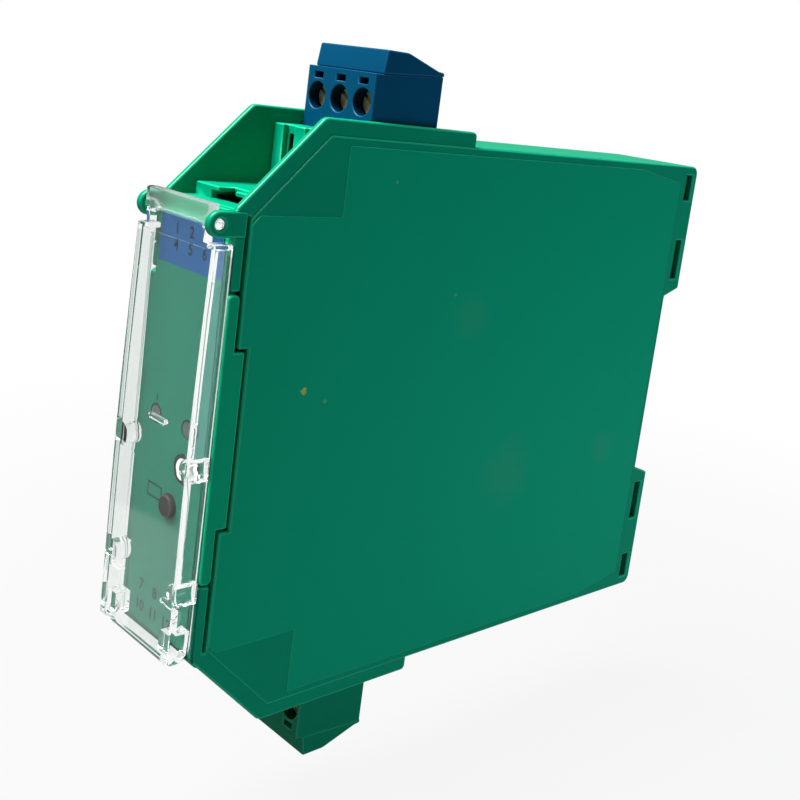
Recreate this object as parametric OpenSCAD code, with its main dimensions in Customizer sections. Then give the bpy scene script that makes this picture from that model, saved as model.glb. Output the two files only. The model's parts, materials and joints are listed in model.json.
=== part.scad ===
// Signal isolator in a slim rail housing. Two side shells hold a circuit board, a front insert sits under a
// clear hinged cover, and screw terminal blocks plug in on top and below.
// Origin: middle of the rail seat. The front faces -Y, the rail is on +Y and Z is up.

/* [Housing] */
// Distance from the rail seat to the front border
front_depth = 104.75; // [98:0.25:125]
// Half height over the cheeks
cheek_h = 47.2; // [46:0.1:52]
// Half height of the body behind the cheeks
body_h = 44.8; // [43:0.1:46]
// Half height of the front border
front_h = 33.5; // [32:0.1:36]
// Length of the cheeks' straight top edge
cheek_len = 31; // [29:0.5:40]
// Reach of the rear flanges past the rail seat
rear_lip = 4.3; // [4.1:0.1:6]
// Thickness of the side walls at the border
wall_t = 1.2; // [1:0.1:2]
// Rise of the side panel over the border
panel_rise = 0.25; // [0.15:0.05:0.5]
// Rise of the middle plate over the side panel
plate_rise = 0.15; // [0.1:0.05:0.4]
// Width of the border along the cheeks
border_w = 2.6; // [1.5:0.1:4]
// Thickness of the top, bottom and rear walls
shell_t = 1.4; // [1:0.1:2]
// Radius of the outline's corners
corner_r = 1.6; // [0.5:0.1:2.2]

/* [Rail seat] */
// Width of the rail that the part clips on
rail_w = 35; // [35:0.5:36]
// Play between the rail's edges and the seat, on each side
rail_play = 0.75; // [0.3:0.05:1]
// Thickness of the rail's lips
rail_lip_t = 1; // [1:0.1:1.3]
// Widening of the seat towards its mouth
mouth_flare = 1.6; // [0.5:0.1:2]
// Overlap of each hook behind the rail's lip
hook_bite = 1.5; // [1:0.1:1.8]
// Width of the hooks
hook_w = 6; // [4:0.5:9]
// Travel of the latch
latch_travel = 2.5; // [2:0.1:3]
// Thickness of the latch spring's strip, along the depth
spring_t = 0.6; // [0.4:0.05:0.7]
// Half depth of the latch spring
spring_r = 1.05; // [0.9:0.05:1.15]

/* [Front insert] */
// Depth of the front border strip
strip_w = 2; // [1.6:0.1:3]
// Gap round the insert's side flanges
insert_gap = 0.4; // [0.1:0.05:0.5]
// Half height of the side flanges
insert_h = 21.6; // [18:0.1:25]
// Half height of the tabs in the middle of the flanges
tab_h = 13.3; // [9:0.1:16]
// Depth of the tabs
tab_d = 1.7; // [1:0.1:3]
// Half width of the printed label
label_half_w = 7.6; // [6.5:0.1:8]
// Thickness of the label film
label_t = 0.2; // [0.1:0.05:0.3]
// Radius of the light lenses
led_r = 1.4; // [1:0.05:1.7]
// Distance of the lights from the middle
led_x = 4.3; // [3.5:0.1:5]
// Height of the lights
led_z = 0.6; // [0:0.1:1.5]
// Radius of the service socket's sleeve
jack_r = 2.2; // [1.8:0.05:2.4]
// Height of the service socket
jack_z = -5.5; // [-5.8:0.1:-5]
// Radius of the button
button_r = 1.75; // [1.5:0.05:2.2]
// Sideways place of the button
button_x = 1.6; // [-1:0.1:2.5]
// Height of the button
button_z = -11.9; // [-16:0.1:-11.7]
// Travel of the button
button_travel = 0.6; // [0.3:0.05:0.7]
// Play round lenses, button and socket in their holes
hole_play = 0.1; // [0.05:0.01:0.15]

/* [Clear cover] */
// Depth of the cover's neck in front of the border
cover_d = 3.5; // [3.2:0.1:4.5]
// Outward bow of the cover's front plate
cover_bow = 0.75; // [0.2:0.05:1]
// Gap for a fingernail behind the cover's lower end
nail_gap = 0.5; // [0.2:0.05:0.8]
// Wall of the cover
cover_t = 0.9; // [0.8:0.1:1.4]
// Thickness of the cover's front plate
cover_face_t = 1.4; // [1:0.1:1.6]
// Gap between the ears and the cover's shoulders
shoulder_gap = 0.85; // [0.6:0.05:1.2]
// Gap between the cover and what it closes on
cover_gap = 0.1; // [0.05:0.05:0.2]
// Distance of the hinge axis in front of the border
hinge_out = 2.35; // [2.25:0.05:2.7]
// Distance of the hinge axis below the border's top
hinge_drop = 2.05; // [1.9:0.05:2.3]
// Radius of the hinge ears
ear_r = 1.9; // [1.7:0.05:2.1]
// Height of the hinge bar above the hinge axis
bar_rise = 2.65; // [2.4:0.05:2.75]
// Radius of the hinge pins
pin_r = 0.75; // [0.5:0.05:1]
// Running clearance of the hinge pins
pin_play = 0.05; // [0.02:0.01:0.1]
// Radius of the half-round pillars inside the cover
pillar_r = 1.8; // [1.2:0.1:2.2]

/* [Terminal blocks] */
// Distance between the poles
pole_pitch = 5.5; // [5.3:0.05:6.5]
// Play between a block and the cheeks, on each side
block_gap = 0.15; // [0.1:0.05:0.3]
// Depth of a block from front to rear
block_d = 13.75; // [13.2:0.05:15]
// Depth of a block's pocket below the body's top
pocket_d = 7.9; // [7.5:0.1:8.5]
// Height of the screws above the body's top
screw_rise = 5; // [4.6:0.1:6]
// Height of the block's lip above the screws
lip_rise = 4.5; // [4.2:0.1:5.5]
// Height of the cap above the lip
cap_rise = 3.65; // [3:0.05:5]
// Setback of the cap behind the block's front
cap_setback = 1.35; // [0.8:0.05:2]
// Backward lean of the cap's front
cap_lean = 0.55; // [0.1:0.05:0.8]
// Rise of the seam under the cap towards the rear
seam_rise = 0.8; // [0.3:0.05:1]
// Radius of the screw holes
screw_hole_r = 2.1; // [2:0.05:2.2]
// Radius of the screw heads
screw_head_r = 1.9; // [1.6:0.05:1.95]
// Radius of the screw shanks
screw_r = 1.25; // [1:0.05:1.4]
// Depth of the screw heads below the front
screw_sink = 1.9; // [1.5:0.1:2.2]
// Radius of the wire entries
wire_r = 1.5; // [1:0.05:1.8]
// Width of the header pins
header_w = 1; // [0.8:0.05:1.1]

/* [Terminal bays] */
// Drop of the front ledge below the border's top
ledge_drop = 0.35; // [0.3:0.05:1]
// Depth of the front ledge
ledge_d = 4.55; // [4:0.05:6]
// Rise of the platform over the ledge
platform_rise = 1.95; // [1.8:0.05:3]
// Depth of the platform
platform_d = 13.1; // [12:0.1:15]
// Depth of the tier between the riser and the block
tier_d = 5.35; // [4.5:0.05:7]
// Thickness of the platform's plate over the opening
platform_t = 0.75; // [0.6:0.05:1]
// Width of the opening under the platform
opening_w = 8; // [6:0.1:10]
// Width of the notch in the platform's front edge
notch_w = 4.3; // [3:0.1:5]
// Depth of the notch in the platform's front edge
notch_d = 2.9; // [1.5:0.1:4]
// Width of the grooves in the riser
groove_w = 2.75; // [2:0.05:3]
// Depth of the grooves in the riser
groove_d = 1; // [0.5:0.05:1.2]
// Sideways shift of the grooves from the poles
groove_shift = 1; // [0:0.1:1.2]

/* [Circuit board] */
// Thickness of the boards
board_t = 1.6; // [1:0.1:2]
// Place of the main board's outer face
board_x = -1.4; // [-3:0.1:-1]

/* [Hidden] */
$fn = 32;
eps = 0.02;
GREEN = [0, 0.42, 0.29];
BLUE = [0.02, 0.3, 0.52];
STEEL = [0.62, 0.6, 0.55];
BRASS = [0.75, 0.6, 0.3];

// Widths
poles = 3;
block_w = poles * pole_pitch;
inner_x = block_w / 2 + block_gap;
border_x = inner_x + wall_t;
panel_x = border_x + panel_rise;
side_x = panel_x + plate_rise;
fit_gap = 0.1;
fill_x = inner_x - fit_gap;

// Depths of the housing
front_y = -front_depth;
corner_y = front_y + cheek_h - front_h;
cheek_rear_y = corner_y + cheek_len;
seat_h = rail_w / 2 + rail_play;
mouth_h = seat_h + mouth_flare;
hook_y = rail_lip_t + 0.3;
hook_t = 1.4;

// Terminal bays and blocks
ledge_h = front_h - ledge_drop;
platform_h = ledge_h + platform_rise;
platform_y = front_y + ledge_d;
riser_y = platform_y + platform_d;
block_y = riser_y + tier_d;
block_rear_y = block_y + block_d;
pocket_gap = 0.3;
pocket_h = body_h - pocket_d;
block_z = pocket_h + fit_gap;
screw_z = body_h + screw_rise;
lip_z = screw_z + lip_rise;
seam_z = lip_z + seam_rise;
cap_z = lip_z + cap_rise;

// Screw and clamp along a pole
head_t = 1.2;
head_y = block_y + screw_sink;
seat_y = head_y + head_t + fit_gap;
seat_t = 0.5;
clamp_travel = 1;
cage_w = 4;
cage_t = 1;
cage_d = 6.8;
cage_h = 4.4;
cage_y = seat_y + seat_t + clamp_travel + fit_gap;
chamber_gap = 0.15;
chamber_rear_y = cage_y + cage_d + chamber_gap;
bar_t = 0.6;
bar_w = 2.6;
bar_inset = 3.3;
bar_y = cage_y + bar_inset;
pin_y = bar_y + bar_t / 2;
wire_y = (bar_y + bar_t + cage_y + cage_d - cage_t) / 2;

// Front insert and cover
panel_t = strip_w;
panel_back_y = front_y + panel_t;
panel_front_y = panel_back_y + insert_gap;
label_y = front_y - label_t;
board_setback = 5;
front_board_y = panel_back_y + board_setback;
hinge_y = front_y - hinge_out;
hinge_z = front_h - hinge_drop;
cover_y = front_y - cover_d;
cover_back_y = front_y - cover_gap;
cover_low_z = -ledge_h + cover_gap;
shoulder_z = hinge_z - ear_r - shoulder_gap;
cover_x = side_x;
neck_x = label_half_w + fit_gap;
rest_y = label_y - cover_gap;
bar_r = bar_rise + 0.1;
trough_r = bar_r + 0.35;
label_high_z = hinge_z - 0.7;
label_low_z = -ledge_h + 0.8;

// Front of the cover's bowed plate at a height, and its inner face there
bow_run = 40;
function front_at(z) = cover_y - cover_bow * sin(90 * min(1, max(0, (shoulder_z - z) / bow_run)));
function inside_at(z) = front_at(z) + cover_face_t - eps;
function plate_curve(low, high, back, n = 12) =
    [for (i = [0 : n]) let (z = low + (high - low) * i / n) [front_at(z) + back, z]];

// Latch
latch_y = hook_y;
latch_proud = 1.8;
latch_foot_z = -body_h - latch_proud;
guide_t = 1.5;
guide_low_z = -body_h + 5.5;
lug_t = 1.5;
guide_high_z = -seat_h - 5.8;
lug_z = guide_high_z - guide_t - 0.2;
spring_y = latch_y - spring_r - 0.85;
spring_w = 2.5;

function pole_x(i) = (i - (poles + 1) / 2) * pole_pitch;
function flip(points) = [for (i = [len(points) - 1 : -1 : 0]) [points[i].x, -points[i].y]];
function both(points) = concat(points, flip(points));
function both_radii(radii) = concat(radii, [for (i = [len(radii) - 1 : -1 : 0]) radii[i]]);

// One corner of an outline, cut back to an arc of radius r
function arc_corner(a, b, c, r, n = 5) =
    let (u = (a - b) / norm(a - b),
         v = (c - b) / norm(c - b),
         half = acos(u * v) / 2,
         mid = (u + v) / norm(u + v),
         o = b + mid * r / sin(half),
         s = b + u * r / tan(half) - o,
         e = b + v * r / tan(half) - o,
         turn = (180 - 2 * half) * sign(s.x * e.y - s.y * e.x))
    [for (i = [0 : n]) o + [s.x * cos(turn * i / n) - s.y * sin(turn * i / n),
                            s.x * sin(turn * i / n) + s.y * cos(turn * i / n)]];

// Outline whose corners take the radii in the list, 0 for a sharp one
function rounded(points, radii) =
    [for (i = [0 : len(points) - 1])
        let (m = len(points))
        each (radii[i] > 0
            ? arc_corner(points[(i + m - 1) % m], points[i], points[(i + 1) % m], radii[i])
            : [points[i]])];

// Side outline of the walls, top half from the front to the rail seat
wall_half = [
    [front_y, front_h], [corner_y, cheek_h], [cheek_rear_y, cheek_h], [cheek_rear_y, body_h],
    [rear_lip, body_h], [rear_lip, mouth_h], [0, seat_h]
];
wall_radii = [corner_r, corner_r, corner_r / 2, 0, corner_r, 0, 0];
wall_outline = rounded(both(wall_half), both_radii(wall_radii));

// Edge of the raised panel, parallel to the border's slope
panel_offset = border_w * sqrt(2);
panel_edge_z = front_h - 0.5;
panel_half = [
    [panel_front_y, panel_edge_z - 0.8], [front_y - front_h + panel_edge_z + panel_offset, panel_edge_z],
    [front_y - front_h + body_h + panel_offset, body_h], [rear_lip, body_h], [rear_lip, mouth_h], [0, seat_h]
];
panel_outline = rounded(both(panel_half), both_radii([0, 0, 0, corner_r, 0, 0]));

// Middle plate, set back at the bays and sloped at the rear
plate_margin = 1.3;
plate_chamfer = 1.5;
plate_step_y = riser_y + 0.7;
plate_slope_d = 12.5;
plate_slope_h = 2.1;
plate_half = [
    [panel_front_y, panel_edge_z - 0.1 - plate_chamfer], [panel_front_y + plate_chamfer, panel_edge_z - 0.1],
    [plate_step_y, panel_edge_z - 0.1], [plate_step_y, body_h - plate_margin],
    [-plate_margin - plate_slope_d, body_h - plate_margin],
    [-plate_margin, body_h - plate_margin - plate_slope_h]
];

// Slots in the rear flanges: distance from the middle and length
flange_slots = [[seat_h + 3.65, 7.9], [body_h - 6.8, 5]];
slot_y = 0.9;
slot_w = rear_lip - 2.2;

// A side outline in Y and Z, extruded from x0 to x1
module side_solid(x0, x1, points) {
    translate([x0, 0, 0]) rotate([90, 0, 90]) linear_extrude(x1 - x0) polygon(points);
}

// A box from its lowest and its highest corner
module span(low, high) {
    translate(low) cube(high - low);
}

// A round bar along X
module bar_x(x0, x1, y, z, r) {
    translate([x0, y, z]) rotate([0, 90, 0]) cylinder(h = x1 - x0, r = r);
}

// A round bar along Y
module bar_y_at(x, z, y0, y1, r) {
    translate([x, y0, z]) rotate([-90, 0, 0]) cylinder(h = y1 - y0, r = r);
}

// Ear on the wall's front edge with the hole of the cover's pin
module hinge_ear() {
    ear_x = border_x + panel_rise / 2;
    difference() {
        union() {
            bar_x(inner_x, ear_x, hinge_y, hinge_z, ear_r);
            span([inner_x, hinge_y, hinge_z - ear_r], [ear_x, front_y + strip_w, hinge_z + ear_r]);
        }
        bar_x(inner_x - 1, side_x + 1, hinge_y, hinge_z, pin_r + pin_play);
    }
}

// Side wall on +X with its border, raised panel and middle plate
module side_wall() {
    difference() {
        union() {
            side_solid(inner_x, border_x, wall_outline);
            side_solid(border_x - eps, panel_x, panel_outline);
            side_solid(panel_x - eps, side_x, both(plate_half));
        }
        insert_cut(insert_h, panel_back_y);
        insert_cut(tab_h, panel_back_y + tab_d);
        panel_gap();
        for (s = [-1, 1], slot = flange_slots)
            span([inner_x - 1, slot_y, min(s * slot[0], s * (slot[0] + slot[1]))],
                 [side_x + 1, slot_y + slot_w, max(s * slot[0], s * (slot[0] + slot[1]))]);
    }
    hinge_ear();
}

// Room in the wall's front edge for the insert's flange or its tab
module insert_cut(h, y) {
    span([inner_x - 1, front_y - 1, -h - insert_gap], [side_x + 1, y + insert_gap, h + insert_gap]);
}

// Shadow gap between the front strip and the panel
module panel_gap() {
    gap_depth = 1;
    for (s = [-1, 1])
        span([border_x - gap_depth, panel_back_y, min(s * (insert_h - 1), s * (panel_edge_z - 0.4))],
             [side_x + 1, panel_front_y, max(s * (insert_h - 1), s * (panel_edge_z - 0.4))]);
}

// Rear part of the housing between the walls: top, bottom, rail seat and flanges
module rear_shell() {
    outer = [[cheek_rear_y, body_h], [rear_lip, body_h], [rear_lip, mouth_h], [0, seat_h]];
    inner = [[cheek_rear_y - 1, body_h - shell_t], [rear_lip - shell_t, body_h - shell_t],
             [rear_lip - shell_t, mouth_h + shell_t], [-shell_t, seat_h + shell_t]];
    difference() {
        side_solid(-inner_x - eps, inner_x, rounded(both(outer), both_radii([0, corner_r, 0, 0])));
        side_solid(-inner_x - 1, inner_x + 1, both(inner));
        latch_way();
    }
}

// Way of the latch through the seat's lower wall and the bottom
module latch_way() {
    side = hook_w / 2 + 0.3;
    span([-side, latch_y - 0.25, -body_h - 1], [side, latch_y + hook_t + 0.25, -seat_h + 1]);
}

// Fixed hook above the rail, or the latch's tooth when turned over
module hook_tooth(root_h) {
    tip = rail_w / 2 - hook_bite;
    side_solid(-hook_w / 2, hook_w / 2, [
        [hook_y, tip], [hook_y + 0.6, tip], [hook_y + hook_t, tip + 1.6], [hook_y + hook_t, root_h],
        [hook_y, root_h]
    ]);
}

post_r = 2;
rear_post_y = cheek_rear_y + 40;
front_post_y = riser_y - 4;
board_posts = [[rear_post_y, body_h - 11], [rear_post_y, -seat_h - 2], [front_post_y, insert_h + 2],
               [front_post_y, -insert_h - 2]];

module housing_body() {
    color(GREEN) {
        mirror([1, 0, 0]) side_wall();
        rear_shell();
        hook_tooth(mouth_h + shell_t / 2);
        for (p = board_posts) bar_x(-inner_x - eps, board_x - board_t, p.x, p.y, post_r);
        for (z = [guide_high_z, guide_low_z])
            span([-inner_x - eps, spring_y - 2, z - guide_t], [fill_x, latch_y - 0.25, z]);
    }
}

module side_cover() {
    color(GREEN) side_wall();
}

module front_panel() {
    color(GREEN) difference() {
        union() {
            span([-fill_x, front_y, -ledge_h], [fill_x, panel_back_y, ledge_h]);
            for (m = [0, 1]) mirror([m, 0, 0]) insert_flange();
            for (s = [-1, 1]) bar_y_at(0, s * (insert_h - 2), panel_back_y - eps, front_board_y, 1.5);
        }
        front_holes();
        bar_trough();
    }
}

// Round trough above the label in which the cover's bar turns
module bar_trough() {
    intersection() {
        bar_x(-panel_x - 1, panel_x + 1, hinge_y, hinge_z, trough_r);
        span([-panel_x - 2, hinge_y, label_high_z], [panel_x + 2, panel_back_y, ledge_h + 1]);
    }
}

jack_x = led_x - 0.3;

// Holes of the lights, the socket and the button through label and insert
module front_holes() {
    front = label_y - 1;
    back = panel_back_y + 1;
    for (s = [-1, 1]) bar_y_at(s * led_x, led_z, front, back, led_r + hole_play);
    bar_y_at(jack_x, jack_z, front, back, jack_r + hole_play);
    bar_y_at(button_x, button_z, front, back, button_r + hole_play);
}

// Flange on the insert's side with round ends, and the tab in its middle
module insert_flange() {
    flange = both([[front_y, insert_h], [panel_back_y, insert_h]]);
    side_solid(fill_x - eps, panel_x, rounded(flange, [0.8, 0.8, 0.8, 0.8]));
    span([fill_x - eps, panel_back_y - 0.5, -tab_h], [panel_x, panel_back_y + tab_d, tab_h]);
}

module front_label() {
    color([0.28, 0.53, 0.44]) difference() {
        span([-label_half_w, label_y, label_low_z], [label_half_w, front_y, label_high_z]);
        front_holes();
    }
}

// Lens with a dome behind the label and a foot on the front board
module led_lens(x) {
    foot_t = 1;
    bar_y_at(x, led_z, label_y, front_board_y - foot_t + eps, led_r);
    bar_y_at(x, led_z, front_board_y - foot_t, front_board_y, led_r + 0.4);
}

module status_led() {
    color([0.45, 0.46, 0.44]) led_lens(-led_x);
}

module power_led() {
    color([0.45, 0.46, 0.44]) led_lens(led_x);
}

module service_socket() {
    bore_r = jack_r - 0.9;
    box = jack_r + 0.5;
    color([0.07, 0.08, 0.08]) difference() {
        union() {
            bar_y_at(jack_x, jack_z, label_y, front_board_y - 1, jack_r);
            span([jack_x - box, panel_back_y + fit_gap, jack_z - box],
                 [jack_x + box, front_board_y, jack_z + box]);
        }
        bar_y_at(jack_x, jack_z, label_y - 1, front_board_y - 0.8, bore_r);
    }
}

// Button cap with its retaining collar and the stem that works the switch
button_proud = 0.9;
collar_y = panel_back_y + 0.3;
collar_t = 0.5;
switch_y = collar_y + collar_t + button_travel + 0.1;
stem_r = 1;

module set_button() {
    color([0.2, 0.15, 0.14]) {
        bar_y_at(button_x, button_z, label_y - button_proud, collar_y + eps, button_r);
        bar_y_at(button_x, button_z, collar_y, collar_y + collar_t, button_r + 0.5);
        bar_y_at(button_x, button_z, collar_y + collar_t - eps, switch_y + 0.4, stem_r);
    }
}

module button_switch() {
    half = 3;
    color([0.12, 0.12, 0.12]) difference() {
        span([button_x - half, switch_y, button_z - half], [button_x + half, front_board_y, button_z + half]);
        bar_y_at(button_x, button_z, switch_y - 1, switch_y + 0.4 + button_travel + 0.3, stem_r + 0.1);
    }
}

module front_board() {
    half_w = inner_x - 0.6;
    half_h = insert_h + 2;
    color([0.1, 0.35, 0.2])
        span([-half_w, front_board_y, -half_h], [half_w, front_board_y + board_t, half_h]);
}

// Clear cover: a shallow tray that hangs on two pins between the ears
module clear_cover() {
    color([0.85, 0.93, 0.9, 0.35]) {
        cover_tray();
        cover_hinge();
        cover_pillars();
        for (m = [0, 1]) mirror([m, 0, 0]) cover_corner();
    }
}

module cover_tray() {
    low = cover_low_z;
    low_back = [cover_back_y - nail_gap, low];
    low_front = [front_at(low), low];
    bow_low = shoulder_z - bow_run;
    high = shoulder_z - cover_t;
    heel_r = cover_d - 1;
    toe_r = 0.5;
    outer = concat(
        arc_corner([cover_back_y, shoulder_z], low_back, low_front, heel_r),
        arc_corner(low_back, low_front, [front_at(low), bow_low], toe_r),
        plate_curve(bow_low, shoulder_z, 0),
        [[cover_back_y, shoulder_z]]);
    hollow = concat(
        [[cover_back_y + 1, low + cover_t], [front_at(low) + cover_face_t, low + cover_t]],
        plate_curve(bow_low, high, cover_face_t),
        [[cover_back_y + 1, high]]);
    difference() {
        side_solid(-cover_x, cover_x, outer);
        side_solid(-cover_x + cover_t, cover_x - cover_t, hollow);
        span([-neck_x, cover_y + cover_face_t, high - 1], [neck_x, cover_back_y + 1, shoulder_z + 1]);
        for (s = [-1, 1]) corner_dimple(s * cover_x);
    }
}

// Shallow round dimple in the side of the cover's lower corner
module corner_dimple(x) {
    dimple_r = 0.7;
    dimple_d = 0.3;
    bar_x(x - dimple_d, x + dimple_d, hinge_y + 0.4, cover_low_z + 1.6, dimple_r);
}

// Neck of the front plate, the flat-topped bar between the ears, and its end lobes with the two pins
module cover_hinge() {
    bar_low = 0.2;
    bar_back = 0.55;
    lobe_w = 2.2;
    lobe_r = pin_r + 0.35;
    span([-neck_x, cover_y, shoulder_z - 1], [neck_x, cover_y + cover_face_t, hinge_z]);
    intersection() {
        bar_x(-fill_x, fill_x, hinge_y, hinge_z, bar_r);
        span([-fill_x - 1, cover_y, hinge_z - bar_low], [fill_x + 1, hinge_y + bar_back, hinge_z + bar_rise]);
    }
    for (m = [0, 1]) mirror([m, 0, 0]) {
        bar_x(fill_x - lobe_w, fill_x, hinge_y, hinge_z, lobe_r);
        bar_x(fill_x - lobe_w / 2, border_x, hinge_y, hinge_z, pin_r);
    }
}

// Half-round pillars that keep the cover off the label, and the short rib between the lights
pillar_heights = [-3.75, -22.45];

module cover_pillars() {
    rib = [4.4, 0.8, 0.8];
    rib_z = led_z + 0.7;
    rib_y = inside_at(rib_z);
    intersection() {
        span([-cover_x, cover_y - cover_bow, cover_low_z], [cover_x, rest_y, shoulder_z]);
        for (s = [-1, 1], z = pillar_heights)
            bar_y_at(s * (cover_x - cover_t), z, inside_at(z), front_y, pillar_r);
    }
    span([-rib.x / 2, rib_y, rib_z - rib.z / 2], [rib.x / 2, rib_y + rib.y, rib_z + rib.z / 2]);
}

// Solid lower corner and the short rib above it
module cover_corner() {
    corner_w = 3.6;
    corner_h = 4.4;
    rib_w = 4.3;
    rib_z = pillar_heights[1] - pillar_r;
    rib_d = 0.9;
    root_x = cover_x - cover_t + eps;
    face_y = inside_at(cover_low_z);
    span([cover_x - corner_w, face_y, cover_low_z + cover_t - eps], [root_x, rest_y, cover_low_z + corner_h]);
    span([cover_x - rib_w, face_y, rib_z - 0.5], [root_x, face_y + rib_d, rib_z + 0.2]);
}

// Stepped floor of a terminal bay: ledge, platform, riser, pocket of the block and rear tier
module terminal_base() {
    t = shell_t;
    pf = block_y - pocket_gap;
    pr = block_rear_y + pocket_gap;
    rear = cheek_rear_y - fit_gap;
    profile = [
        [panel_back_y, ledge_h], [platform_y, ledge_h], [platform_y, platform_h], [riser_y, platform_h],
        [riser_y, body_h], [pf, body_h], [pf, pocket_h], [pr, pocket_h], [pr, body_h], [rear, body_h],
        [rear, body_h - t], [pr + t, body_h - t], [pr + t, pocket_h - t], [pf - t, pocket_h - t],
        [pf - t, body_h - t], [riser_y + t, body_h - t], [riser_y + t, platform_h - t],
        [platform_y + t, platform_h - t], [platform_y + t, ledge_h - t], [panel_back_y, ledge_h - t]
    ];
    difference() {
        side_solid(-fill_x, fill_x, profile);
        platform_notch();
        for (i = [1 : poles]) riser_groove(pole_x(i) + groove_shift);
        for (i = [1 : poles]) header_hole(pole_x(i));
    }
}

// Notch in the platform's front edge and the opening under its plate
module platform_notch() {
    opening_d = 6;
    front = platform_y - 1;
    plate_z = platform_h - platform_t;
    span([-notch_w / 2, front, plate_z - 1], [notch_w / 2, platform_y + notch_d, platform_h + 1]);
    span([-opening_w / 2, front, ledge_h], [opening_w / 2, platform_y + opening_d, plate_z]);
}

// Groove in the riser with a slot through its back
module riser_groove(x) {
    slot_w = 1.5;
    slot_h = 5;
    left = x - groove_w / 2;
    slot_x = left + 0.3;
    slot_z = body_h - shell_t;
    span([left, riser_y - 1, platform_h], [left + groove_w, riser_y + groove_d, body_h + 1]);
    span([slot_x, riser_y, slot_z - slot_h], [slot_x + slot_w, riser_y + shell_t + 1, slot_z]);
}

header_play = 0.02;

module header_hole(x) {
    h = header_w / 2 + header_play;
    span([x - h, pin_y - h, pocket_h - shell_t - 1], [x + h, pin_y + h, pocket_h + 1]);
}

// Square pins that stand on the pocket's floor, each with a shoulder below it
module header_pins() {
    h = header_w / 2;
    foot = header_w * 0.9;
    top_z = block_z + fork_h - 0.4;
    for (i = [1 : poles]) {
        span([pole_x(i) - h, pin_y - h, pocket_h - shell_t - 1.6], [pole_x(i) + h, pin_y + h, top_z]);
        span([pole_x(i) - foot, pin_y - foot, pocket_h - shell_t - 1.6],
             [pole_x(i) + foot, pin_y + foot, pocket_h - shell_t]);
    }
}

module upper_terminal_base() {
    color(GREEN) terminal_base();
}

module lower_terminal_base() {
    color(GREEN) mirror([0, 0, 1]) terminal_base();
}

module upper_header_pins() {
    color(BRASS) header_pins();
}

module lower_header_pins() {
    color(BRASS) mirror([0, 0, 1]) header_pins();
}

// Body of a plug-in block: screw holes and test slots in front, clamp chambers behind, contact ways below
fork_h = 5.6;
fork_w = 2.6;
fork_d = 2.2;
fork_gap = 0.15;
chamber_z = screw_z - cage_h / 2 - 0.6;

module block_body() {
    difference() {
        side_solid(-block_w / 2, block_w / 2, [
            [block_y, block_z], [block_rear_y, block_z], [block_rear_y, seam_z],
            [block_y + cap_setback, lip_z], [block_y, lip_z]
        ]);
        for (i = [1 : poles]) block_pole(pole_x(i));
    }
}

module block_pole(x) {
    half = cage_w / 2 + chamber_gap;
    test_w = 2.15;
    test_h = 0.95;
    test_z = screw_z + 3.15;
    fw = fork_w / 2 + fork_gap;
    fd = fork_d / 2 + fork_gap;
    bar_y_at(x, screw_z, block_y - 1, seat_y, screw_hole_r);
    bar_y_at(x, screw_z, block_y, seat_y + seat_t + 0.5, screw_r + fit_gap);
    span([x - half, seat_y + seat_t, chamber_z], [x + half, chamber_rear_y, seam_z + 1]);
    span([x - test_w / 2, block_y - 1, test_z - test_h / 2],
         [x + test_w / 2, seat_y + seat_t + 1, test_z + test_h / 2]);
    span([x - fw, pin_y - fd, block_z - 1], [x + fw, pin_y + fd, chamber_z + 1]);
}

// Cap over the clamp chambers, sloped at the rear where the wires go in
module block_cap() {
    flat_d = 4.8;
    crest_r = 3;
    tip = 0.15;
    tip_d = 1;
    tip_t = 0.65;
    front = block_y + cap_setback;
    rear = block_rear_y;
    profile = rounded([
        [front, lip_z], [front + cap_lean, cap_z], [front + flat_d, cap_z],
        [rear - tip_d, seam_z + tip_t + 0.1], [rear + tip, seam_z + tip_t], [rear + tip, seam_z],
        [rear, seam_z]
    ], [0, 0.3, crest_r, 0, 0, 0, 0]);
    difference() {
        side_solid(-block_w / 2, block_w / 2, profile);
        for (i = [1 : poles]) {
            translate([pole_x(i), wire_y, lip_z - 1]) cylinder(h = cap_rise + 2, r = wire_r);
            translate([pole_x(i), wire_y, cap_z - 2.2]) cylinder(h = 2.4, r1 = wire_r, r2 = wire_r + 1);
        }
    }
}

// Contact of each pole: a bar through the clamp and a fork round the header pin
module block_contacts() {
    hole = header_w / 2 + 0.1;
    for (i = [1 : poles]) difference() {
        union() {
            span([pole_x(i) - fork_w / 2, pin_y - fork_d / 2, block_z + 0.3],
                 [pole_x(i) + fork_w / 2, pin_y + fork_d / 2, block_z + 0.3 + fork_h]);
            span([pole_x(i) - bar_w / 2, bar_y, block_z + fork_h],
                 [pole_x(i) + bar_w / 2, bar_y + bar_t, screw_z + cage_h / 2 + 0.8]);
        }
        span([pole_x(i) - hole, pin_y - hole, block_z - 1],
             [pole_x(i) + hole, pin_y + hole, block_z + fork_h - 0.1]);
    }
}

// Slotted clamp screw of pole i
module clamp_screw(i) {
    slot_t = 0.5;
    slot_depth = 0.6;
    x = pole_x(i);
    difference() {
        union() {
            bar_y_at(x, screw_z, head_y, head_y + head_t, screw_head_r);
            bar_y_at(x, screw_z, head_y + head_t - eps, bar_y - 0.3, screw_r);
        }
        translate([x, head_y, screw_z]) rotate([0, 35, 0])
            cube([2 * screw_head_r + 1, 2 * slot_depth, slot_t], center = true);
    }
}

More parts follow.
